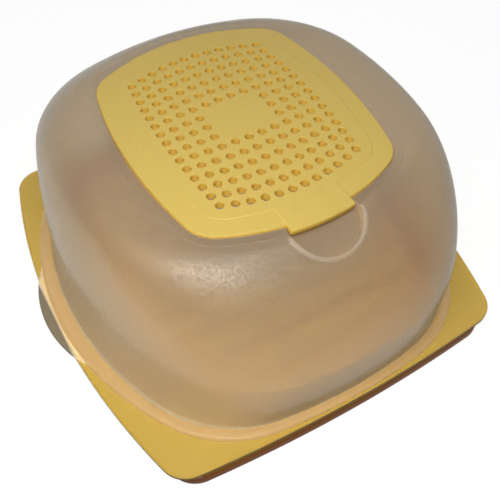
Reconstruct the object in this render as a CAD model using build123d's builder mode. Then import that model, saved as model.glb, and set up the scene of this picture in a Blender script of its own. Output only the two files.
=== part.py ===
from build123d import *
from math import atan2, cos, degrees, hypot, radians, sin, sqrt
import os

os.makedirs("parts", exist_ok=True)

# A square keeper for cheese: a yellow tray, a frosted cover that stands on it, and a vent in the cover's crown.
# All sizes are in millimetres. The origin is the middle of the tray's underside, Z is up and -Y is the front,
# where the vent's lift tab is. Every outline is a square with bulging sides, made of four long side arcs that
# run tangent into four corner arcs. It is written as half width X, half depth Y, the radius of the arcs that
# close the X sides, the radius of the arcs that close the Y sides, and the radius of the corners.

# Tray
rim_half_x = 129.5
rim_half_y = 134.1
rim_arc_x = 425.0
rim_arc_y = 1008.0
rim_corner = 17.7
rim_height = 15.0
lip_thickness = 3.0
lip_rounding = 1.2
edge_bead_width = 0.9
edge_bead_height = 0.6
skirt_inset_x = 5.0
skirt_inset_y = 0.8
skirt_wall = 2.0
floor_thickness = 2.5
upstand_thickness = 2.0
upstand_rise = 8.0
floor_rib_width = 2.0
floor_rib_height = 3.0
floor_rib_spacing = 22.0
floor_rib_end_gap = 16.0

# Cover
flange_clearance = 0.3
flange_arc_x = 180.0
flange_arc_y = 400.0
flange_corner = 72.0
flange_height = 3.4
flange_rounding = 2.4
flange_width_x = 9.1
flange_width_y = 4.7
foot_arc_x = 200.0
foot_arc_y = 300.0
foot_corner = 74.0
side_lean = 4.4
front_bulge = 5.0
bulge_height = 42.5
bulge_arc_x = 200.0
bulge_arc_y = 276.0
bulge_corner = 78.0
cover_rise = 106.5
cover_wall = 2.0
upstand_clearance = 0.6
dome_fullness = 1.74
side_fullness = 4.78
front_fullness = 1.26
corner_fullness = 12.5
dome_steps = 20
crown_margin = 9.0
pad_margin = 5.2
crown_step = 0.4
lift_tab_radius = 77.6
lift_tab_reach = 7.0
lift_tab_thickness = 2.0
lift_tab_gap = 0.5

# Vent in the crown
grille_half_x = 68.1
grille_half_y = 80.5
grille_arc_x = 255.0
grille_arc_y = 118.5
grille_corner = 20.0
grille_height = 4.5
grille_doming = 1900.0
grille_rounding = 0.7
grille_boss_drop = 0.9
pocket_depth = 1.4
pocket_clearance = 0.3
ledge_width = 6.0
grille_tab_half_width = 18.9
grille_tab_reach = 4.8
grille_tab_rounding = 0.8
panel_inset_x = 10.0
panel_inset_y = 11.2
panel_rise = 0.3
panel_rounding = 0.6
panel_arc_x = 222.0
panel_arc_y = 123.6
panel_corner = 15.7
panel_back_half_width = 31.0
hole_radius = 2.3
hole_sink_radius = 2.55
hole_pitch = 7.5
hole_columns = 12
hole_rows = 15
blank_columns = 4
blank_rows = 3
column_spread = 0.087
row_spread = 0.156

# Thumb recess in front of the vent's tab
recess_radius = 20.0
recess_centre = 82.0
recess_depth = 3.0
recess_tilt = 20.0
recess_flare = 8.0
recess_back_wall = 4.5

# Membrane and its frame
frame_clearance = 1.0
frame_width = 5.0
frame_height = 3.2
film_seat_width = 2.5
film_clearance = 0.2
film_thickness = 0.3
boss_clearance = 0.3

# Sizes that follow from the ones above
rim = (rim_half_x, rim_half_y, rim_arc_x, rim_arc_y, rim_corner)
flange_half_x = rim_half_x - edge_bead_width - flange_clearance
flange_half_y = rim_half_y - edge_bead_width - flange_clearance
flange = (flange_half_x, flange_half_y, flange_arc_x, flange_arc_y, flange_corner)
foot_half_x = flange_half_x - flange_width_x
foot_half_y = flange_half_y - flange_width_y
foot = (foot_half_x, foot_half_y, foot_arc_x, foot_arc_y, foot_corner)
bulge = (foot_half_x - side_lean, foot_half_y + front_bulge, bulge_arc_x, bulge_arc_y, bulge_corner)
grille = (grille_half_x, grille_half_y, grille_arc_x, grille_arc_y, grille_corner)
foot_z = rim_height + flange_height
bulge_z = foot_z + bulge_height
crown_z = rim_height + cover_rise
pad_z = crown_z + crown_step
seat_z = pad_z - pocket_depth
grille_top_z = seat_z + grille_height
ceiling_z = seat_z - cover_wall
film_top_z = seat_z - grille_boss_drop


def grown(outline, amount):
    # the parallel outline that lies this far outside, or inside where the amount is negative
    return tuple(size + amount for size in outline)


def blended(start, end, share):
    return tuple(a + (b - a) * share for a, b in zip(start, end))


def squared(outline):
    # four side arcs and four corner arcs; each corner circle lies inside its two side circles and touches both
    half_x, half_y, arc_x, arc_y, corner = outline
    centre_x = half_x - arc_x
    centre_y = half_y - arc_y
    reach_x = arc_x - corner
    reach_y = arc_y - corner
    apart = hypot(centre_x, centre_y)
    along = (reach_x**2 - reach_y**2 + apart**2) / (2 * apart)
    across = sqrt(reach_x**2 - along**2)
    corner_x = centre_x - along * centre_x / apart - across * centre_y / apart
    corner_y = along * centre_y / apart - across * centre_x / apart
    turn_x = degrees(atan2(corner_y, corner_x - centre_x))
    turn_y = degrees(atan2(corner_x, corner_y - centre_y))
    turn_corner = 90 - turn_x - turn_y
    with BuildSketch() as flat:
        with BuildLine():
            CenterArc((centre_x, 0), arc_x, -turn_x, 2 * turn_x)
            CenterArc((corner_x, corner_y), corner, turn_x, turn_corner)
            CenterArc((0, centre_y), arc_y, 90 - turn_y, 2 * turn_y)
            CenterArc((-corner_x, corner_y), corner, 90 + turn_y, turn_corner)
            CenterArc((-centre_x, 0), arc_x, 180 - turn_x, 2 * turn_x)
            CenterArc((-corner_x, -corner_y), corner, 180 + turn_x, turn_corner)
            CenterArc((0, -centre_y), arc_y, 270 - turn_y, 2 * turn_y)
            CenterArc((corner_x, -corner_y), corner, 270 + turn_y, turn_corner)
        make_face()
    return flat.sketch


def tab_strip(clearance):
    # the vent's lift tab in plan: a strip whose front edge runs parallel to the vent's own front edge
    with BuildSketch() as strip:
        add(squared(grown(grille, grille_tab_reach + clearance)))
        with Locations((0, -grille_half_y)):
            Rectangle(2 * (grille_tab_half_width + clearance), 4 * grille_tab_reach, mode=Mode.INTERSECT)
        fillet(strip.vertices().sort_by(Axis.Y)[:2], grille_tab_rounding)
    return strip.sketch


def dome_levels(inset, top_z):
    # heights and outlines of the dome from its foot, over its widest line, to the edge of its crown
    crown = grown(grille, crown_margin)
    levels = []
    for step in range(3):
        share = 1 - step / 3
        levels.append((bulge_z - share * bulge_height, blended(bulge, foot, share**2)))
    for step in range(dome_steps + 1):
        turn = 90 * (1 - (1 - step / dome_steps) ** 1.6)
        rise = sin(radians(turn)) ** (2 / dome_fullness)
        shrink = max(cos(radians(turn)), 0.0)
        side = 1 - shrink ** (2 / side_fullness)
        front = 1 - shrink ** (2 / front_fullness)
        corner = 1 - shrink ** (2 / corner_fullness)
        shares = (side, front, side, front, corner)
        outline = tuple(a + (b - a) * share for a, b, share in zip(bulge, crown, shares))
        levels.append((bulge_z + rise * (top_z - bulge_z), outline))
    return [(height, grown(outline, -inset)) for height, outline in levels]


# Tray: rim plate with a rolled lip, skirt, well with ribs on its floor, and the upstand inside the cover's foot
upstand_share = 1 - (1 - (upstand_rise - flange_height) / bulge_height) ** 2
leaning = blended(foot, bulge, upstand_share)
narrowest = tuple(min(low, high) for low, high in zip(foot, leaning))
well = grown(narrowest, -cover_wall - upstand_clearance)
skirt = (rim_half_x - skirt_inset_x, rim_half_y - skirt_inset_y, rim_arc_x, rim_arc_y, rim_corner)
well_half_x = well[0] - upstand_thickness
well_half_y = well[1] - upstand_thickness
rib_count = 2 * int((well_half_y - floor_rib_end_gap) / floor_rib_spacing) + 1
with BuildPart() as base_tray:
    with BuildSketch(Plane.XY.offset(rim_height - lip_thickness)):
        add(squared(rim))
    extrude(amount=lip_thickness)
    fillet(base_tray.faces().sort_by(Axis.Z)[0].outer_wire().edges(), lip_rounding)
    with BuildSketch(Plane.XY.offset(rim_height)):
        add(squared(rim))
        add(squared(grown(rim, -edge_bead_width)), mode=Mode.SUBTRACT)
    extrude(amount=edge_bead_height)
    with BuildSketch():
        add(squared(skirt))
        add(squared(grown(skirt, -skirt_wall)), mode=Mode.SUBTRACT)
    extrude(amount=rim_height - lip_thickness)
    with BuildSketch():
        add(squared(well))
    extrude(amount=rim_height + upstand_rise)
    with BuildSketch(Plane.XY.offset(floor_thickness)):
        add(squared(grown(well, -upstand_thickness)))
    extrude(amount=rim_height + upstand_rise, mode=Mode.SUBTRACT)
    with BuildSketch(Plane.XY.offset(floor_thickness)):
        with GridLocations(0, floor_rib_spacing, 1, rib_count):
            SlotOverall(2 * (well_half_x - floor_rib_end_gap), floor_rib_width)
    extrude(amount=floor_rib_height)
base_tray.part.label = "base_tray"
export_step(base_tray.part, "parts/base_tray.step")

# Thumb recess: a dished scoop on a floor that tips down to the front, and the pan that carries it
recess_floor = Plane(
    origin=(0, -recess_centre, crown_z - recess_depth),
    x_dir=(1, 0, 0),
    z_dir=(0, -sin(radians(recess_tilt)), cos(radians(recess_tilt))),
)
recess_back = grille_half_y - ledge_width + recess_back_wall
recess_reach = recess_centre - recess_back
with BuildPart() as recess:
    with BuildSketch(recess_floor):
        Circle(recess_radius)
    extrude(amount=recess_depth * 3, taper=-recess_flare)
    with Locations((0, -recess_back, crown_z)):
        Box(8 * recess_radius, 8 * recess_radius, 8 * recess_radius, align=(Align.CENTER, Align.MIN, Align.CENTER),
            mode=Mode.SUBTRACT)
with BuildPart() as recess_pan:
    with BuildSketch(recess_floor.offset(-cover_wall)):
        Circle(recess_radius + cover_wall)
    extrude(amount=recess_depth * 3 + cover_wall, taper=-recess_flare)
    with Locations((0, -recess_back + cover_wall, crown_z)):
        Box(8 * recess_radius, 8 * recess_radius, 8 * recess_radius, align=(Align.CENTER, Align.MIN, Align.CENTER),
            mode=Mode.SUBTRACT)

# Hollow of the cover, from below its flange to the underside of its crown
with BuildPart() as cover_hollow:
    for height, outline in dome_levels(cover_wall, ceiling_z):
        with BuildSketch(Plane.XY.offset(height)):
            add(squared(outline))
    loft(ruled=True)
    with BuildSketch(Plane.XY.offset(rim_height - cover_wall)):
        add(squared(grown(foot, -cover_wall)))
    extrude(amount=flange_height + cover_wall)
    add(recess_pan.part, mode=Mode.SUBTRACT)

# Full dome, before it is hollowed
with BuildPart() as dome_body:
    for height, outline in dome_levels(0, crown_z):
        with BuildSketch(Plane.XY.offset(height)):
            add(squared(outline))
    loft(ruled=True)

# Cover: dome, flange with its rounded bead, two lift tabs, the stepped crown and the seat for the vent
with BuildPart() as dome_cover:
    with BuildSketch(Plane.XY.offset(rim_height)):
        add(squared(flange))
    extrude(amount=flange_height)
    fillet(dome_cover.faces().sort_by(Axis.Z)[-1].outer_wire().edges(), flange_rounding)
    with BuildSketch(Plane.XY.offset(rim_height + edge_bead_height + lift_tab_gap)):
        with Locations((flange_half_x + lift_tab_reach - lift_tab_radius, 0)):
            Circle(lift_tab_radius)
        with Locations((lift_tab_radius - flange_half_x - lift_tab_reach, 0)):
            Circle(lift_tab_radius)
    extrude(amount=lift_tab_thickness)
    add(dome_body.part)
    with BuildSketch(Plane.XY.offset(crown_z)):
        add(squared(grown(grille, pad_margin)))
    extrude(amount=crown_step)
    add(cover_hollow.part, mode=Mode.SUBTRACT)
    with BuildSketch(Plane.XY.offset(seat_z)):
        add(squared(grown(grille, pocket_clearance)))
        add(tab_strip(pocket_clearance))
    extrude(amount=grille_height, mode=Mode.SUBTRACT)
    with BuildSketch(Plane.XY.offset(ceiling_z)):
        add(squared(grown(grille, -ledge_width)))
    extrude(amount=grille_height, mode=Mode.SUBTRACT)
    add(recess.part, mode=Mode.SUBTRACT)
dome_cover.part.label = "dome_cover"
export_step(dome_cover.part, "parts/dome_cover.step")


def doming(x, y):
    # height of the vent's domed top above a point of the seat plane
    return grille_top_z - grille_doming + sqrt(grille_doming**2 - x**2 - y**2)


# Plan of the vent: its outline and the lift tab at the front
with BuildSketch() as grille_plan:
    add(squared(grille))
    add(tab_strip(0))

# Raised middle panel of the vent, which runs out to the back edge and into the tab
panel_half_x = grille_half_x - panel_inset_x
panel_half_y = grille_half_y - panel_inset_y
panel = (panel_half_x, panel_half_y, panel_arc_x, panel_arc_y, panel_corner)
with BuildPart() as grille_panel:
    with BuildSketch(Plane.XY.offset(seat_z)):
        add(squared(panel))
        with Locations((0, panel_half_y)):
            Rectangle(2 * panel_back_half_width, 4 * panel_inset_y)
        with Locations((0, -panel_half_y)):
            Rectangle(2 * grille_tab_half_width, 4 * panel_inset_y)
        add(grille_plan.sketch, mode=Mode.INTERSECT)
    extrude(amount=grille_height)
    with Locations((0, 0, grille_top_z - grille_doming)):
        Sphere(grille_doming, mode=Mode.INTERSECT)
    fillet(grille_panel.faces().sort_by(Axis.Z)[-1].outer_wire().edges(), panel_rounding)

# Rows of holes bow outwards with the plate's sides, and the middle of the pattern stays blank
hole_places = []
for column in range(hole_columns):
    for row in range(hole_rows):
        across = column - (hole_columns - 1) / 2
        along = row - (hole_rows - 1) / 2
        if abs(across) < blank_columns / 2 and abs(along) < blank_rows / 2:
            continue
        share_x = 2 * across / (hole_columns - 1)
        share_y = 2 * along / (hole_rows - 1)
        x = hole_pitch * across * (1 + column_spread * (1 - share_y**2))
        y = hole_pitch * along * (1 + row_spread * (1 - share_x**2))
        hole_places.append((x, y, doming(x, y)))

# Vent grille: domed plate with a lift tab, and under it the boss that presses the film into its frame
frame_outside = grown(grille, -ledge_width - frame_clearance)
film_seat = grown(frame_outside, -film_seat_width)
with BuildPart() as vent_grille:
    with BuildSketch(Plane.XY.offset(seat_z)):
        add(grille_plan.sketch)
    extrude(amount=grille_height)
    with Locations((0, 0, grille_top_z - grille_doming)):
        Sphere(grille_doming - panel_rise, mode=Mode.INTERSECT)
    fillet(vent_grille.faces().sort_by(Axis.Z)[-1].outer_wire().edges(), grille_rounding)
    add(grille_panel.part)
    with BuildSketch(Plane.XY.offset(film_top_z)):
        add(squared(grown(film_seat, -boss_clearance)))
    extrude(amount=grille_boss_drop)
    with Locations(*hole_places):
        CounterSinkHole(hole_radius, hole_sink_radius, depth=2 * grille_height, counter_sink_angle=90)
vent_grille.part.label = "vent_grille"
export_step(vent_grille.part, "parts/vent_grille.step")

# Frame under the vent that carries the membrane
with BuildPart() as membrane_frame:
    with BuildSketch(Plane.XY.offset(seat_z - frame_height)):
        add(squared(frame_outside))
        add(squared(grown(frame_outside, -frame_width)), mode=Mode.SUBTRACT)
    extrude(amount=frame_height)
    with BuildSketch(Plane.XY.offset(film_top_z - film_thickness)):
        add(squared(film_seat))
    extrude(amount=grille_boss_drop + film_thickness, mode=Mode.SUBTRACT)
membrane_frame.part.label = "membrane_frame"
export_step(membrane_frame.part, "parts/membrane_frame.step")

# Breathable film, laid in the frame's seat
with BuildPart() as breathable_membrane:
    with BuildSketch(Plane.XY.offset(film_top_z - film_thickness)):
        add(squared(grown(film_seat, -film_clearance)))
    extrude(amount=film_thickness)
breathable_membrane.part.label = "breathable_membrane"
export_step(breathable_membrane.part, "parts/breathable_membrane.step")
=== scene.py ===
import bpy
import numpy as np
from mathutils import Matrix, Vector


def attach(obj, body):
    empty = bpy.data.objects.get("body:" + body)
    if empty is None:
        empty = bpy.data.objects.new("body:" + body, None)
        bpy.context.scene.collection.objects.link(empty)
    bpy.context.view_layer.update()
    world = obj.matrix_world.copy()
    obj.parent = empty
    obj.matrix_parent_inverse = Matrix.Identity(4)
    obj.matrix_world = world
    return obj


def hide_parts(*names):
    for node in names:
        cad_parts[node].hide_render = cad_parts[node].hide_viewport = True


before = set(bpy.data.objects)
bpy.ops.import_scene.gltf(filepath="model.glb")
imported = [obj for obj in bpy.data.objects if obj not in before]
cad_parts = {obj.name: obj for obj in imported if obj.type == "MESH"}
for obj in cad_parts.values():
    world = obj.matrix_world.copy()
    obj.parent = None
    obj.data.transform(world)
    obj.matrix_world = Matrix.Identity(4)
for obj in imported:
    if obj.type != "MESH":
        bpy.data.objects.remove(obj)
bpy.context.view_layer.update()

# Square cheese keeper: yellow tray, frosted cover and a yellow vent grille over a grey film.
# Everything is in metres here, the shape settings are in millimetres and are scaled when a mesh is made.

print("cheese keeper: frame loaded")


def linear(red, green, blue):
    # screen colour 0..255 to scene linear: ((c + 0.055) / 1.055) ** 2.4 above the toe, c / 12.92 below it
    c = np.array([red, green, blue]) / 255.0
    return tuple(np.where(c > 0.04045, ((c + 0.055) / 1.055) ** 2.4, c / 12.92)) + (1.0,)


# camera, solved from the vent's hole grid and the tray's rim: place in metres, angles in degrees, lens in mm
cameraSet = {
    "place": (-0.14899, -0.26043, 0.38374),
    "azimuth": -31.156,
    "elevation": 51.355,
    "roll": 1.256,
    "lens": 50.875,
}


def makeCamera():
    # azimuth 0 looks along +Y; back points from the keeper to the camera and roll turns right towards up
    a, e, r = np.radians([cameraSet["azimuth"], cameraSet["elevation"], cameraSet["roll"]])
    back = Vector((np.sin(a) * np.cos(e), -np.cos(a) * np.cos(e), np.sin(e)))
    right = Vector((np.cos(a), np.sin(a), 0.0))
    up = back.cross(right)
    right, up = right * np.cos(r) + up * np.sin(r), up * np.cos(r) - right * np.sin(r)
    camData = bpy.data.cameras.new("camera")
    camData.lens = cameraSet["lens"]
    camData.sensor_width = 36.0
    cam = bpy.data.objects.new("camera", camData)
    bpy.context.scene.collection.objects.link(cam)
    turn = Matrix((right, up, back)).transposed().to_4x4()
    cam.matrix_world = Matrix.Translation(cameraSet["place"]) @ turn
    bpy.context.scene.camera = cam


makeCamera()


def squaredRings(rings, sideSteps, cornerSteps, frontSteps):
    # one closed ring for each row of (half x, half y, arc x, arc y, corner): two side arcs and a corner arc for
    # the first quarter, where the corner circle touches both side circles, then mirrored to the other three
    halfX, halfY, arcX, arcY, corner = np.asarray(rings, float).T[:, :, None]
    cx, cy = halfX - arcX, halfY - arcY
    rx, ry = arcX - corner, arcY - corner
    apart = np.hypot(cx, cy)
    along = (rx ** 2 - ry ** 2 + apart ** 2) / (2 * apart)
    across = np.sqrt(np.maximum(rx ** 2 - along ** 2, 0))
    u = cx - along * cx / apart - across * cy / apart
    v = along * cy / apart - across * cx / apart
    turnX, turnY = np.arctan2(v, u - cx), np.arctan2(u, v - cy)
    sideT = np.linspace(0, 1, sideSteps + 1)[None, :-1]
    cornerT = np.linspace(0, 1, cornerSteps + 1)[None, :-1]
    frontT = np.linspace(0, 1, frontSteps + 1)[None, :]
    angle = sideT * turnX
    x1, y1 = cx + arcX * np.cos(angle), arcX * np.sin(angle)
    angle = turnX + cornerT * (np.pi / 2 - turnX - turnY)
    x2, y2 = u + corner * np.cos(angle), v + corner * np.sin(angle)
    angle = np.pi / 2 - turnY + frontT * turnY
    x3, y3 = arcY * np.cos(angle), cy + arcY * np.sin(angle)
    x = np.concatenate([x1, x2, x3], 1)
    y = np.concatenate([y1, y2, y3], 1)
    x[:, -1] = 0.0
    xs = np.concatenate([x, -x[:, -2::-1], -x[:, 1:], x[:, -2:0:-1]], 1)
    ys = np.concatenate([y, y[:, -2::-1], -y[:, 1:], -y[:, -2:0:-1]], 1)
    return xs, ys


def meshFromGrid(name, x, y, z, closedRows=False, capStart=False, capEnd=False):
    # rows are rings closed on themselves; closedRows joins the last ring to the first, a cap is a fan to one point
    rows, cols = x.shape
    points = np.stack([x, y, z], -1).reshape(-1, 3) * 0.001
    i = np.arange(rows if closedRows else rows - 1)[:, None]
    j = np.arange(cols)[None, :]
    a = i * cols + j
    b = i * cols + (j + 1) % cols
    c = ((i + 1) % rows) * cols + (j + 1) % cols
    d = ((i + 1) % rows) * cols + j
    faces = np.stack([a, b, c, d], -1).reshape(-1, 4).tolist()
    ring = np.arange(cols)
    if capStart:
        points = np.vstack([points, points[:cols].mean(0)])
        faces += np.stack([np.roll(ring, -1), ring, np.full(cols, len(points) - 1)], 1).tolist()
    if capEnd:
        last = (rows - 1) * cols
        points = np.vstack([points, points[last:last + cols].mean(0)])
        faces += np.stack([last + ring, last + np.roll(ring, -1), np.full(cols, len(points) - 1)], 1).tolist()
    mesh = bpy.data.meshes.new(name)
    mesh.from_pydata(points.tolist(), [], faces)
    mesh.polygons.foreach_set("use_smooth", np.ones(len(mesh.polygons), bool))
    mesh.update()
    obj = bpy.data.objects.new(name, mesh)
    bpy.context.scene.collection.objects.link(obj)
    return obj


def grown(ring, amount):
    # outline moved outwards: half widths and radii all grow by the same amount
    return np.asarray(ring, float) + amount


# floor and lamps: places and sizes in metres, each lamp a rectangle that faces the aim
stageSet = {
    "floorSize": 6.0,
    "floorColour": (0.15, 0.145, 0.14, 1.0),
    "floorGlow": 0.93,
    "floorDrop": 0.0002,
    "worldColour": (0.06, 0.06, 0.06, 1.0),
    "aim": (0.0, 0.0, 0.06),
    "key": {"place": (-0.165, -0.208, 0.50), "size": (0.26, 0.07), "power": 1.75, "colour": (1.0, 0.985, 0.95)},
    "fill": {"place": (0.4, 0.6, 1.2), "size": (1.2, 1.2), "power": 1.5, "colour": (1.0, 0.98, 0.95)},
    "side": {"place": (-1.1, 0.25, 0.45), "size": (0.8, 0.8), "power": 0.25, "colour": (1.0, 0.95, 0.88)},
}


def seenAsBackground(nodes, links):
    # 1 for rays of the camera, of mirrors and of clear plastic, 0 for the rays that light the keeper
    path = nodes.new("ShaderNodeLightPath")
    either = nodes.new("ShaderNodeMath")
    either.operation = "MAXIMUM"
    seen = nodes.new("ShaderNodeMath")
    seen.operation = "MAXIMUM"
    links.new(path.outputs["Is Camera Ray"], either.inputs[0])
    links.new(path.outputs["Is Glossy Ray"], either.inputs[1])
    links.new(either.outputs[0], seen.inputs[0])
    links.new(path.outputs["Is Transmission Ray"], seen.inputs[1])
    return seen.outputs[0]


def makeStage():
    # world and floor are white wherever they count as background, and dim where they light the keeper
    world = bpy.data.worlds.new("studio")
    bpy.context.scene.world = world
    world.use_nodes = True
    nodes, links = world.node_tree.nodes, world.node_tree.links
    nodes.clear()
    out = nodes.new("ShaderNodeOutputWorld")
    mix = nodes.new("ShaderNodeMixShader")
    white = nodes.new("ShaderNodeBackground")
    white.inputs["Color"].default_value = (1, 1, 1, 1)
    dim = nodes.new("ShaderNodeBackground")
    dim.inputs["Color"].default_value = stageSet["worldColour"]
    links.new(seenAsBackground(nodes, links), mix.inputs[0])
    links.new(dim.outputs[0], mix.inputs[1])
    links.new(white.outputs[0], mix.inputs[2])
    links.new(mix.outputs[0], out.inputs["Surface"])

    half = stageSet["floorSize"] / 2
    mesh = bpy.data.meshes.new("floor")
    corners = [(-half, -half, 0), (half, -half, 0), (half, half, 0), (-half, half, 0)]
    mesh.from_pydata(corners, [], [(0, 1, 2, 3)])
    floor = bpy.data.objects.new("floor", mesh)
    floor.location.z = -stageSet["floorDrop"]
    bpy.context.scene.collection.objects.link(floor)
    material = bpy.data.materials.new("paleFloor")
    material.use_nodes = True
    nodes, links = material.node_tree.nodes, material.node_tree.links
    nodes.clear()
    out = nodes.new("ShaderNodeOutputMaterial")
    plain = nodes.new("ShaderNodeBsdfDiffuse")
    plain.inputs["Color"].default_value = stageSet["floorColour"]
    glow = nodes.new("ShaderNodeEmission")
    strength = nodes.new("ShaderNodeMath")
    strength.operation = "MULTIPLY"
    strength.inputs[1].default_value = stageSet["floorGlow"]
    both = nodes.new("ShaderNodeAddShader")
    links.new(seenAsBackground(nodes, links), strength.inputs[0])
    links.new(strength.outputs[0], glow.inputs["Strength"])
    links.new(plain.outputs[0], both.inputs[0])
    links.new(glow.outputs[0], both.inputs[1])
    links.new(both.outputs[0], out.inputs["Surface"])
    mesh.materials.append(material)

    for name in ("key", "fill", "side"):
        setup = stageSet[name]
        data = bpy.data.lights.new(name, "AREA")
        data.shape = "RECTANGLE"
        data.size, data.size_y = setup["size"]
        data.energy = setup["power"]
        data.color = setup["colour"]
        lamp = bpy.data.objects.new(name, data)
        bpy.context.scene.collection.objects.link(lamp)
        lamp.location = setup["place"]
        lamp.rotation_mode = "QUATERNION"
        aim = Vector(stageSet["aim"]) - Vector(setup["place"])
        lamp.rotation_quaternion = aim.to_track_quat("-Z", "Y")


makeStage()
bpy.context.scene.view_settings.view_transform = "Standard"
print("cheese keeper: camera, floor and lamps")


# small helpers for the finishes: each makes one node, feeds it sockets or plain values, and returns its output
def startMaterial(name):
    material = bpy.data.materials.new(name)
    material.use_nodes = True
    tree = material.node_tree
    return material, tree, tree.nodes["Principled BSDF"], tree.nodes.new("ShaderNodeTexCoord").outputs


def feed(tree, socket, value):
    if isinstance(value, bpy.types.NodeSocket):
        tree.links.new(value, socket)
    else:
        socket.default_value = value


def noise(tree, place, scale, detail):
    node = tree.nodes.new("ShaderNodeTexNoise")
    node.inputs["Scale"].default_value = scale
    node.inputs["Detail"].default_value = detail
    tree.links.new(place["Object"], node.inputs["Vector"])
    return node.outputs["Fac"]


def ranged(tree, value, source, target=(0.0, 1.0)):
    # the source range is carried onto the target range and held at its ends
    node = tree.nodes.new("ShaderNodeMapRange")
    for label, number in zip(("From Min", "From Max", "To Min", "To Max"), (*source, *target)):
        node.inputs[label].default_value = number
    tree.links.new(value, node.inputs["Value"])
    return node.outputs["Result"]


def maths(tree, operation, *values):
    node = tree.nodes.new("ShaderNodeMath")
    node.operation = operation
    for socket, value in zip(node.inputs, values):
        feed(tree, socket, value)
    return node.outputs[0]


def blended(tree, kind, factor, first, second):
    node = tree.nodes.new("ShaderNodeMix")
    node.data_type = kind
    for label, value in (("Factor", factor), ("A", first), ("B", second)):
        feed(tree, node.inputs[label], value)
    return node.outputs["Result"]


def ramped(tree, factor, places, colours):
    node = tree.nodes.new("ShaderNodeValToRGB")
    stops = node.color_ramp.elements
    for spot in places[1:-1]:
        stops.new(spot)
    for stop, spot, colour in zip(stops, places, colours):
        stop.position = spot
        stop.color = colour
    tree.links.new(factor, node.inputs["Fac"])
    return node.outputs["Color"]


def bumped(tree, height, strength, distance):
    node = tree.nodes.new("ShaderNodeBump")
    node.inputs["Strength"].default_value = strength
    node.inputs["Distance"].default_value = distance
    tree.links.new(height, node.inputs["Height"])
    return node


def separated(tree, vector):
    node = tree.nodes.new("ShaderNodeSeparateXYZ")
    tree.links.new(vector, node.inputs[0])
    return node.outputs


def mouldedPlastic(name, finish):
    # colour drifts a little between two shades with a slow noise; on the steep faces below a height it is blended
    # to the steep colour,
    #  which is painted shading: darker as painted shade on the tray, lighter as painted light on the vent's hole
    #      walls; a fine noise gives the mould's grain as a bump, on edges that look rounded
    material, tree, shader, place = startMaterial(name)
    slow = noise(tree, place, *finish["driftNoise"])
    body = ramped(tree, slow, (0.3, 0.7), (finish["shade"], finish["colour"]))
    upward = maths(tree, "ABSOLUTE", separated(tree, place["Normal"])["Z"])
    steepPaintedShading = ranged(tree, upward, (0.75, 0.25))
    below = finish["steepBelow"]
    low = ranged(tree, separated(tree, place["Object"])["Z"], (below + 0.003, below))
    # painted shading: upright faces below the height are blended to the steep colour
    withPaintedShading = blended(tree, "RGBA", maths(tree, "MULTIPLY", low, steepPaintedShading), body, finish["steepPaintedShading"])
    feed(tree, shader.inputs["Base Color"], withPaintedShading)
    rounded = tree.nodes.new("ShaderNodeBevel")
    rounded.samples = 6
    rounded.inputs["Radius"].default_value = finish["rounding"]
    grain = bumped(tree, noise(tree, place, finish["grainSize"], 2.0), finish["grainDepth"], 0.0002)
    tree.links.new(rounded.outputs["Normal"], grain.inputs["Normal"])
    tree.links.new(grain.outputs["Normal"], shader.inputs["Normal"])
    shader.inputs["Roughness"].default_value = finish["roughness"]
    feed(tree, shader.inputs["Specular IOR Level"], ranged(tree, steepPaintedShading, (0.0, 1.0), finish["shine"]))
    return material


# screen colours, noise scales per metre and heights in metres; the steep colour is painted shading on upright
# faces below the steepBelow height: painted shade on the tray, painted light on the vent
trayFinish = {
    "colour": linear(228, 194, 92),
    "shade": linear(224, 189, 88),
    # painted shade: the skirt, the lower well walls and the rib sides are darkened to orange-brown
    "steepPaintedShading": linear(202, 120, 26),
    "steepBelow": 0.0125,
    "roughness": 0.34,
    "grainSize": 900.0,
    "grainDepth": 0.03,
    "rounding": 0.0003,
    "driftNoise": (14.0, 3.0),
    "shine": (0.32, 0.02),
}
ventFinish = {
    "colour": linear(224, 195, 101),
    "shade": linear(219, 190, 97),
    # painted light: the hole walls and the other upright faces are made lighter than the top
    "steepPaintedShading": linear(245, 206, 94),
    "steepBelow": 1.0,
    "roughness": 0.45,
    "grainSize": 1600.0,
    "grainDepth": 0.05,
    "rounding": 0.0007,
    "driftNoise": (14.0, 3.0),
    "shine": (0.32, 0.02),
}
trayPlastic = mouldedPlastic("trayPlastic", trayFinish)
ventPlastic = mouldedPlastic("ventPlastic", ventFinish)


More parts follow.
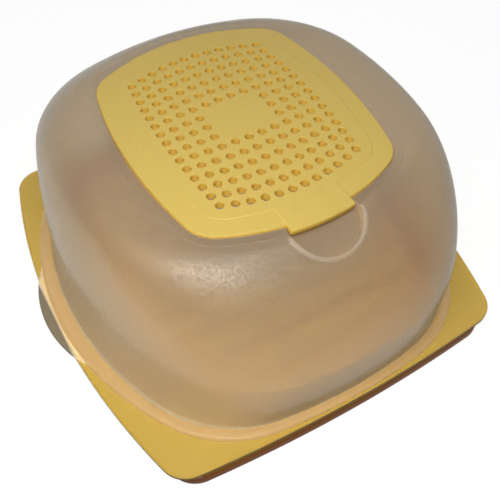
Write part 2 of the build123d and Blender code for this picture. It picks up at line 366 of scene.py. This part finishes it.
def frostedPlastic(name, finish):
    # light passes the cover and is scattered by its grain, lamps reach through it, and a thin clear skin mirrors
    #  more sharply the flatter it is looked along; colour and clearness follow the slope, the rim and the lift
    #  tabs, and the paler colour of the upright walls is painted light
    material, tree, shader, place = startMaterial(name)
    drift = finish["drift"]
    drift = ranged(tree, noise(tree, place, *finish["driftNoise"]), (0.3, 0.7), (-drift, drift))
    slope = maths(tree, "ADD", separated(tree, place["Normal"])["Z"], drift)
    # painted light: the colour gets paler towards the upright walls
    body = ramped(tree, slope, finish["slopes"], finish["colours"])
    clear = ramped(tree, slope, finish["slopes"], [(v, v, v, 1.0) for v in finish["clears"]])
    spot = separated(tree, place["Object"])
    rim = ranged(tree, spot["Z"], (finish["rimTop"], finish["rimTop"] - 0.002))
    tab = ranged(tree, maths(tree, "ABSOLUTE", spot["X"]), (finish["tabStart"], finish["tabStart"] + 0.001))
    body = blended(tree, "RGBA", rim, body, finish["rimColour"])
    body = blended(tree, "RGBA", tab, body, finish["tabColour"])
    weight = tree.nodes.new("ShaderNodeLayerWeight")
    weight.inputs["Blend"].default_value = 0.5
    facing = weight.outputs["Facing"]
    thick = ranged(tree, facing, (0.3, 0.95), (1.0, finish["alongClear"]))
    clear = blended(tree, "FLOAT", rim, clear, finish["rimClear"])
    clear = blended(tree, "FLOAT", tab, maths(tree, "MULTIPLY", clear, thick), finish["tabClear"])
    grain = bumped(tree, noise(tree, place, finish["grainSize"], 3.0), finish["grainDepth"], 0.0003)
    feed(tree, shader.inputs["Base Color"], body)
    feed(tree, shader.inputs["Transmission Weight"], clear)
    feed(tree, shader.inputs["Normal"], grain.outputs["Normal"])
    shader.inputs["Roughness"].default_value = finish["roughness"]
    shader.inputs["IOR"].default_value = finish["bend"]

    coarse = noise(tree, place, finish["skinGrain"][0], 2.0)
    sheen = ranged(tree, facing, (0.1, 0.5), (finish["skinFacing"], finish["skinAlong"]))
    speckle = ranged(tree, coarse, (0.35, 0.65), (1.0 - finish["speckle"], 1.0 + finish["speckle"]))
    gloss = ranged(tree, facing, (0.1, 0.4), (finish["skinRough"], finish["skinSmooth"]))
    skin = bumped(tree, coarse, finish["skinGrain"][1], 0.0004)
    feed(tree, shader.inputs["Coat Weight"], maths(tree, "MULTIPLY", sheen, speckle))
    feed(tree, shader.inputs["Coat Roughness"], gloss)
    feed(tree, shader.inputs["Coat Normal"], skin.outputs["Normal"])
    shader.inputs["Coat IOR"].default_value = 1.5

    through = tree.nodes.new("ShaderNodeBsdfTransparent")
    reach = blended(tree, "RGBA", rim, finish["lampsThrough"], finish["lampsThroughRim"])
    feed(tree, through.inputs["Color"], reach)
    mix = tree.nodes.new("ShaderNodeMixShader")
    tree.links.new(tree.nodes.new("ShaderNodeLightPath").outputs["Is Shadow Ray"], mix.inputs[0])
    tree.links.new(shader.outputs[0], mix.inputs[1])
    tree.links.new(through.outputs[0], mix.inputs[2])
    tree.links.new(mix.outputs[0], tree.nodes["Material Output"].inputs["Surface"])
    return material


# slopes are heights of the surface normal, from upright to level, and colours and clears belong to them; the paler
# colours towards upright are painted light on the walls
coverFinish = {
    "slopes": (0.02, 0.3, 0.65, 0.98),
    # painted light: the upright walls get the palest colour, the shoulder and crown darker tints
    "colours": (
        linear(247, 229, 195),
        linear(218, 205, 182),
        linear(189, 181, 165),
        linear(186, 178, 163),
    ),
    "clears": (0.64, 0.70, 0.82, 0.80),
    "drift": 0.05,
    "driftNoise": (9.0, 2.0),
    "roughness": 0.38,
    "bend": 1.1,
    "grainSize": 1500.0,
    "grainDepth": 0.12,
    "skinFacing": 0.72,
    "skinAlong": 0.26,
    "speckle": 0.8,
    "alongClear": 0.1,
    "tabStart": 0.1287,
    "tabClear": 0.1,
    "tabColour": linear(152, 140, 116),
    "skinRough": 0.44,
    "skinSmooth": 0.07,
    "skinGrain": (720.0, 0.33),
    "lampsThrough": (0.77, 0.76, 0.73, 1.0),
    "lampsThroughRim": (0.97, 0.96, 0.92, 1.0),
    "rimTop": 0.0222,
    "rimColour": linear(250, 247, 236),
    "rimClear": 0.80,
}
coverPlastic = frostedPlastic("frostedPlastic", coverFinish)

# the raised line round the thumb recess is less clear, as thicker plastic, and paler, which is a painted highlight
edgePaintedHighlightFinish = dict(coverFinish)
# painted highlight: one paler colour over the whole lip
edgePaintedHighlightFinish["colours"] = (linear(214, 206, 192),) * 4
edgePaintedHighlightFinish["clears"] = (0.66,) * 4
edgePaintedHighlightPlastic = frostedPlastic("frostedEdgePaintedHighlight", edgePaintedHighlightFinish)

filmFinish = {
    "colour": linear(150, 144, 138),
    "shade": linear(132, 126, 120),
    "steepPaintedShading": linear(140, 134, 128),
    "steepBelow": 1.0,
    "roughness": 0.8,
    "grainSize": 2500.0,
    "grainDepth": 0.4,
    "rounding": 0.0001,
    "driftNoise": (14.0, 3.0),
    "shine": (0.32, 0.02),
}
filmMaterial = mouldedPlastic("filmCloth", filmFinish)
print("cheese keeper: finishes")


# tray in mm: an outline is half x, half y, radius of the x sides, radius of the y sides and corner radius
traySet = {
    "rim": (129.5, 134.1, 425.0, 1008.0, 17.7),
    "skirtInset": (5.0, 0.8, 0.0, 0.0, 0.0),
    "well": (115.66, 125.6, 197.4, 292.5, 71.4),
    "rimZ": 15.0,
    "lip": 3.0,
    "lipRound": 1.2,
    "bead": 0.9,
    "beadRise": 0.6,
    "skirtWall": 2.0,
    "floor": 2.5,
    "upstand": 2.0,
    "upstandRise": 8.0,
    "edge": 0.5,
    "underReach": 60.0,
    "foot": 1.5,
    "crest": 0.8,
    "sunk": 0.3,
    "rib": {"width": 2.0, "height": 3.0, "pitch": 22.0, "endGap": 16.0},
}


def arcRows(ring, insetFrom, insetTo, zFrom, zTo, steps, rising):
    # quarter of an ellipse between two insets of the same outline: rising first along z or first along the inset
    t = np.linspace(0, np.pi / 2, steps + 1)
    a, b = (1 - np.cos(t), np.sin(t)) if rising else (np.sin(t), 1 - np.cos(t))
    rings = [grown(ring, insetFrom + (insetTo - insetFrom) * u) for u in a]
    return rings, list(zFrom + (zTo - zFrom) * b)


def makeTray():
    # one closed profile, from the middle of the underside round the skirt, rim and upstand to the floor's middle:
    # every row is an outline at a height, and all rows are carried round the same squared rings
    s = traySet
    rim, well = np.array(s["rim"]), np.array(s["well"])
    skirt = rim - np.array(s["skirtInset"])
    low, top, edge = s["rimZ"] - s["lip"], s["rimZ"], s["edge"]
    rings, z = [], []

    def put(ring, height):
        rings.append(np.asarray(ring, float))
        z.append(height)

    def putArc(*args):
        more, heights = arcRows(*args)
        rings.extend(more)
        z.extend(heights)

    for share in (0.5, 0.9):
        put(grown(well, -(1 - share) * s["underReach"]), 0.0)
    putArc(well, -edge, 0.0, 0.0, edge, 4, False)
    put(well, low)
    put(grown(skirt, -s["skirtWall"]), low)
    putArc(skirt, -s["skirtWall"], -s["skirtWall"] + edge, edge, 0.0, 4, True)
    putArc(skirt, -edge, 0.0, 0.0, edge, 4, False)
    put(skirt, low * 0.5)
    put(skirt, low)
    putArc(rim, -s["lipRound"], 0.0, low, low + s["lipRound"], 6, False)
    put(rim, top)
    beadTop = top + s["beadRise"]
    putArc(rim, 0.0, -s["bead"] * 0.45, beadTop - 0.4, beadTop, 4, True)
    putArc(rim, -s["bead"] * 0.55, -s["bead"], beadTop, beadTop - 0.3, 4, False)
    putArc(rim, -s["bead"], -s["bead"] - 0.5, top + 0.3, top, 3, True)
    for share in (0.3, 0.6, 0.9):
        put(rim + (well - rim) * share, top)
    putArc(well, edge, 0.0, top, top + edge, 3, False)
    lip = top + s["upstandRise"]
    putArc(well, 0.0, -edge, lip - edge, lip, 4, True)
    putArc(well, -s["upstand"] + edge, -s["upstand"], lip, lip - edge, 4, False)
    for height in (12.0, 6.0):
        put(grown(well, -s["upstand"]), height)
    foot = s["foot"]
    putArc(well, -s["upstand"], -s["upstand"] - foot, s["floor"] + foot, s["floor"], 5, True)
    for inset in (12.0, 30.0, 55.0):
        put(grown(well, -s["upstand"] - inset), s["floor"])
    x, y = squaredRings(rings, 14, 22, 26)
    heights = np.broadcast_to(np.array(z)[:, None], x.shape)
    tray = meshFromGrid("trayShell", x, y, heights, capStart=True, capEnd=True)
    tray.data.materials.append(trayPlastic)
    return tray


def makeRibs():
    # stadium-shaped ribs with a rounded crest, from just under the floor to their full height
    s, rib = traySet, traySet["rib"]
    halfX, halfY = s["well"][0] - s["upstand"], s["well"][1] - s["upstand"]
    count = int((halfY - rib["endGap"]) / rib["pitch"])
    r = rib["width"] / 2
    length = halfX - rib["endGap"] - r
    turn = np.linspace(0, np.pi, 13)
    ringX = np.concatenate([length + np.sin(turn), -length - np.sin(turn)])
    ringY = np.concatenate([-np.cos(turn), np.cos(turn)])
    sideX = np.sign(ringX)
    crest = np.linspace(0, np.pi / 2, 6)
    share = np.concatenate([[1.0], np.cos(crest[:-1]), [0.04]]) * r
    top = s["floor"] + rib["height"]
    rounded = top - s["crest"] + s["crest"] * np.sin(crest[:-1])
    z = np.concatenate([[s["floor"] - s["sunk"]], rounded, [top]])
    x = sideX * length + (ringX - sideX * length)[None, :] * share[:, None]
    y = ringY[None, :] * share[:, None]
    z = np.broadcast_to(z[:, None], x.shape)
    ribs = []
    for k in range(-count, count + 1):
        name = "trayRib" + str(k + count + 1)
        ribs.append(meshFromGrid(name, x, y + k * rib["pitch"], z, capStart=True, capEnd=True))
    return ribs


tray = makeTray()
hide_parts("base_tray")
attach(tray, "tray")
for rib in makeRibs():
    rib.data.materials.append(trayPlastic)
    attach(rib, "tray")
print("cheese keeper: tray")


# cover in mm, with the same outlines: the flange's edge, the wall's foot, its widest line and the vent's edge
coverSet = {
    "flange": (128.3, 132.9, 180.0, 400.0, 72.0),
    "foot": (119.2, 128.2, 200.0, 300.0, 74.0),
    "bulge": (114.8, 133.2, 200.0, 276.0, 78.0),
    "vent": (68.1, 80.5, 255.0, 118.5, 20.0),
    "rimZ": 15.0,
    "footZ": 18.4,
    "bulgeZ": 60.9,
    "crownZ": 121.5,
    "padZ": 121.9,
    "seatZ": 120.5,
    "wall": 2.0,
    "margin": 9.0,
    "padMargin": 5.2,
    "ledge": 6.0,
    "gap": 0.3,
    "fullness": (1.74, 4.78, 1.26, 12.5),
    "tab": {"radius": 77.6, "reach": 7.0, "low": 16.1, "high": 18.1, "round": 0.5},
}
recessSet = {
    "centre": (0.0, -82.0, 118.5),
    "tilt": 20.0,
    "radius": 20.0,
    "flare": 8.0,
    "back": 3.2,
    "lip": (1.7, 0.8, 0.6),
    "tabHalf": 19.2,
    "tabReach": 5.1,
}


def domeRows(inset, topZ, turns):
    # below the widest line the outline follows (1 - height share) ** 2, above it every size has its own fullness
    s = coverSet
    foot, bulge, crown = (np.array(s[k]) for k in ("foot", "bulge", "vent"))
    crown = crown + s["margin"]
    share = 1 - np.linspace(0, 1, 13)[:-1]
    low = bulge + (foot - bulge) * (share ** 2)[:, None]
    lowZ = s["bulgeZ"] - share * (s["bulgeZ"] - s["footZ"])
    rise, side, front, corner = s["fullness"]
    up = np.sin(turns) ** (2 / rise)
    left = np.maximum(np.cos(turns), 0.0)
    shares = np.stack([1 - left ** (2 / k) for k in (side, front, side, front, corner)], -1)
    high = bulge + (crown - bulge) * shares
    return list(np.vstack([low, high]) - inset), list(lowZ) + list(s["bulgeZ"] + up * (topZ - s["bulgeZ"]))


def recessFloor(x, y, drop, wider):
    # height of the recess, or of the pan below it, at a place in plan; the shell's own height is used outside it
    s = recessSet
    tilt = np.radians(s["tilt"])
    floor = s["centre"][2] - drop / np.cos(tilt) + np.tan(tilt) * (y - s["centre"][1])
    along = (y - s["centre"][1]) / np.cos(tilt) + drop * np.tan(tilt)
    inside = (np.hypot(x, along) < s["radius"] + wider) & (along < s["back"] + wider)
    return np.where(inside, floor, 1e3)


def makeCover():
    # one closed shell of rings: out under the flange, over its bead, up the wall, in over the crown, down into the
    # vent's seat and back down the inside; tabInset and tabZ are the same row's place on the lift tabs
    s = coverSet
    flange, foot, vent = (np.array(s[k]) for k in ("flange", "foot", "vent"))
    rings, z, reach, reachZ = [], [], [], []

    def put(ring, height, tabInset=None, tabZ=None):
        rings.append(np.asarray(ring, float))
        z.append(height)
        reach.append(np.nan if tabInset is None else tabInset)
        reachZ.append(height if tabZ is None else tabZ)

    low, high, soft = (s["tab"][k] for k in ("low", "high", "round"))
    put(grown(foot, -s["wall"]), s["rimZ"])
    put(grown(flange, -3.0), s["rimZ"])
    put(grown(flange, -0.4), s["rimZ"])
    put(grown(flange, -0.1), s["rimZ"] + 0.15)
    put(flange, s["rimZ"] + 0.5)
    put(flange, s["rimZ"] + 0.9)
    put(flange, low - 0.05)
    put(grown(flange, -0.03), low + 0.1, soft, low)
    put(grown(flange, -0.1), low + 0.3, 0.15, low + 0.15)
    put(grown(flange, -0.2), low + 0.55, 0.0, low + soft)
    put(grown(flange, -0.33), low + 0.8, 0.0, high - soft)
    put(grown(flange, -0.5), low + 1.05, 0.15, high - 0.15)
    put(grown(flange, -0.72), low + 1.3, soft, high)
    rise = s["footZ"] - s["rimZ"]
    first = len(rings)
    for t in np.linspace(0.1, 1.0, 16):
        # bead: steep at its outer edge, highest near the middle, with a fine groove where it meets the wall
        away = (1 - t / 0.5) ** 4 * 0.28 if t < 0.5 else ((t - 0.5) / 0.5) ** 3 * 0.2
        height = s["rimZ"] + rise * (1 - away)
        put(flange + (foot - flange) * t, height)
    last = len(rings)
    put(foot, s["footZ"] - 0.55)
    even = np.linspace(0, 1, 36)
    reachFront = np.linspace(16.0, 0.0, 41) / (s["bulge"][1] - s["vent"][1] - s["margin"])
    turns = np.arccos(np.clip(reachFront ** (s["fullness"][2] / 2), 0, 1))
    turns = np.concatenate([even[:-1] * turns[0], turns])
    outer, outerZ = domeRows(0.0, s["crownZ"], turns)
    for ring, height in zip(outer[1:], outerZ[1:]):
        put(ring, height)
    for amount in np.linspace(s["margin"], s["padMargin"] + 0.4, 6)[1:]:
        put(grown(vent, amount), s["crownZ"])
    put(grown(vent, s["padMargin"] + 0.12), s["crownZ"] + 0.03)
    put(grown(vent, s["padMargin"]), s["crownZ"] + 0.12)
    put(grown(vent, s["padMargin"] - 0.08), s["padZ"] - 0.1)
    put(grown(vent, s["padMargin"] - 0.3), s["padZ"])
    for amount in np.arange(s["padMargin"] - 0.8, 0.8, -0.7):
        put(grown(vent, amount), s["padZ"])
    put(grown(vent, s["gap"] + 0.3), s["padZ"])
    put(grown(vent, s["gap"] + 0.08), s["padZ"] - 0.1)
    put(grown(vent, s["gap"]), s["padZ"] - 0.4)
    put(grown(vent, s["gap"]), s["seatZ"])
    for amount in (-2.0, -4.0, -s["ledge"] + 0.3):
        put(grown(vent, amount), s["seatZ"])
    put(grown(vent, -s["ledge"]), s["seatZ"] - 0.3)
    split = len(rings)
    ceiling = s["seatZ"] - s["wall"]
    put(grown(vent, -s["ledge"]), ceiling)
    for amount in (-3.0, 0.0, 3.0):
        put(grown(vent, amount), ceiling)
    inner, innerZ = domeRows(s["wall"], ceiling, turns[::2])
    for ring, height in list(zip(inner, innerZ))[::-1]:
        put(ring, height)
    x, y = squaredRings(rings, 26, 26, 64)
    heights = np.repeat(np.array(z)[:, None], x.shape[1], 1)

    # lift tabs: the rows of the flange's edge are drawn out to a circle on each X side
    radius = s["tab"]["radius"]
    centre = s["flange"][0] + s["tab"]["reach"] - radius
    edge = np.abs(x[6])
    out = centre + np.sqrt(np.maximum(radius ** 2 - y[6] ** 2, 0.0))
    amount = np.where(np.abs(y[6]) < radius, out - edge, 0.0)
    weight = np.clip(amount / 0.8, 0, 1)
    inset = np.array(reach)[:, None]
    moved = np.isfinite(inset) & (weight > 0)[None, :]
    pushed = np.sign(x) * np.maximum(out[None, :] - np.nan_to_num(inset), 0)
    x = np.where(moved, x + (pushed - x) * weight, x)
    heights = np.where(moved, heights + (np.array(reachZ)[:, None] - heights) * weight, heights)
    bead = slice(first, last)
    heights[bead] += (np.maximum(heights[bead], high) - heights[bead]) * weight

    # pan of the thumb recess on the inner side
    heights[split:] = np.minimum(heights[split:], recessFloor(x[split:], y[split:], s["wall"], s["wall"]))
    cover = meshFromGrid("coverShell", x, y, heights, closedRows=True)
    cover.data.materials.append(coverPlastic)
    cover.data.materials.append(edgePaintedHighlightPlastic)
    return cover


def recessCutter():
    # D-shaped tapered plug on the tilted floor, with a rounded foot; its flat back stops short of the vent's seat
    s = recessSet
    tilt, flare = np.radians(s["tilt"]), np.tan(np.radians(s["flare"]))
    foot = np.linspace(0, np.pi / 2, 6)
    up = np.concatenate([1 - np.cos(foot), [2.0, 4.0, 8.0, 16.0]])
    radius = s["radius"] + np.concatenate([np.sin(foot) - 1, np.zeros(4)]) + up * flare
    start = np.arcsin(s["back"] / radius)[:, None]
    t = np.linspace(0, 1, 121)[None, :]
    angle = start - t * (np.pi + 2 * start)
    across, along = radius[:, None] * np.cos(angle), radius[:, None] * np.sin(angle)
    chord = np.linspace(0, 1, 30)[None, 1:-1]
    across = np.concatenate([across, across[:, -1:] + (across[:, :1] - across[:, -1:]) * chord], 1)
    along = np.concatenate([along, np.repeat(along[:, :1], chord.size, 1)], 1)
    up = up[:, None]
    y = s["centre"][1] + along * np.cos(tilt) - up * np.sin(tilt)
    z = s["centre"][2] + along * np.sin(tilt) + up * np.cos(tilt)
    return meshFromGrid("recessCutter", across[:, ::-1], y[:, ::-1], z[:, ::-1], capStart=True, capEnd=True)


def recessLip(shell):
    # soft bead along the line where the recess's wall meets the shell, found by looking down the wall
    s = recessSet
    tilt, flare = np.radians(s["tilt"]), np.tan(np.radians(s["flare"]))
    angle = np.linspace(np.radians(-3), np.radians(-177), 73)

    def wall(up):
        radius = s["radius"] + up * flare
        along = radius * np.sin(angle)
        y = s["centre"][1] + along * np.cos(tilt) - up * np.sin(tilt)
        z = s["centre"][2] + along * np.sin(tilt) + up * np.cos(tilt)
        return np.stack([radius * np.cos(angle), y, z], -1)

    top, foot = wall(12.0) / 1000, wall(1.0) / 1000
    hits = [shell.ray_cast(Vector(a), Vector(b - a)) for a, b in zip(top, foot)]
    line = np.array([h[1] for h in hits]) * 1000
    facing = np.array([h[2] for h in hits])
    run = np.gradient(line, axis=0)
    run /= np.linalg.norm(run, axis=1)[:, None]
    outward = np.cross(run, facing)
    outward /= np.linalg.norm(outward, axis=1)[:, None]
    outward *= np.sign((outward * (line - np.array(s["centre"]))).sum(1))[:, None]
    half, tall, sunk = s["lip"]
    ends = np.sqrt(np.clip(1 - np.abs(np.linspace(-1, 1, 73)) ** 30, 0.05, 1))[:, None, None]
    around = np.linspace(0, 2 * np.pi, 25)[None, :-1, None]
    middle = (line + outward * half * 0.6 - facing * sunk)[:, None]
    points = np.cos(around) * half * outward[:, None] + np.sin(around) * tall * 1.3 * facing[:, None]
    points = middle + ends * points
    lip = meshFromGrid("recessLip", points[..., 0], points[..., 1], points[..., 2], capStart=True, capEnd=True)
    lip.data.materials.append(coverPlastic)
    lip.data.materials.append(edgePaintedHighlightPlastic)
    lip.data.polygons.foreach_set("material_index", np.ones(len(lip.data.polygons), int))
    return lip


def pocketCutter():
    # prism over the tab's strip; its front edge is parallel to the vent's own front arc
    s, c = recessSet, coverSet
    reach = np.array(c["vent"]) + s["tabReach"]
    middle = reach[1] - reach[3]
    x = np.concatenate([np.linspace(-s["tabHalf"], s["tabHalf"], 33), [s["tabHalf"], -s["tabHalf"]]])
    y = -middle - np.sqrt(reach[3] ** 2 - x ** 2)
    y[-2:] = -c["vent"][1] + 3.0
    z = np.array([c["seatZ"], c["padZ"] + 4.0])[:, None] + 0 * x
    return meshFromGrid("pocketCutter", np.array([x, x]), np.array([y, y]), z, capStart=True, capEnd=True)


def shaped(obj, added, cutters):
    # the added bead is joined on first, then the cutters are taken away, and the result becomes the mesh
    for cutter in [added] + cutters:
        step = obj.modifiers.new("shape", "BOOLEAN")
        step.operation = "UNION" if cutter is added else "DIFFERENCE"
        step.solver = "EXACT"
        step.object = cutter
    graph = bpy.context.evaluated_depsgraph_get()
    mesh = bpy.data.meshes.new_from_object(obj.evaluated_get(graph))
    obj.modifiers.clear()
    obj.data = mesh
    mesh.name = obj.name
    mesh.polygons.foreach_set("use_smooth", np.ones(len(mesh.polygons), bool))
    mesh.set_sharp_from_angle(angle=np.radians(38))
    for cutter in [added] + cutters:
        bpy.data.objects.remove(cutter)


cover = makeCover()
shaped(cover, recessLip(cover), [pocketCutter(), recessCutter()])
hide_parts("dome_cover")
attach(cover, "cover")
print("cheese keeper: cover", len(cover.data.polygons), "faces")

# vent, frame and film keep their meshes and get their finishes
kept = {"vent_grille": ventPlastic, "membrane_frame": ventPlastic, "breathable_membrane": filmMaterial}
for node, material in kept.items():
    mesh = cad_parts[node].data
    mesh.materials.clear()
    mesh.materials.append(material)
print("cheese keeper: vent")
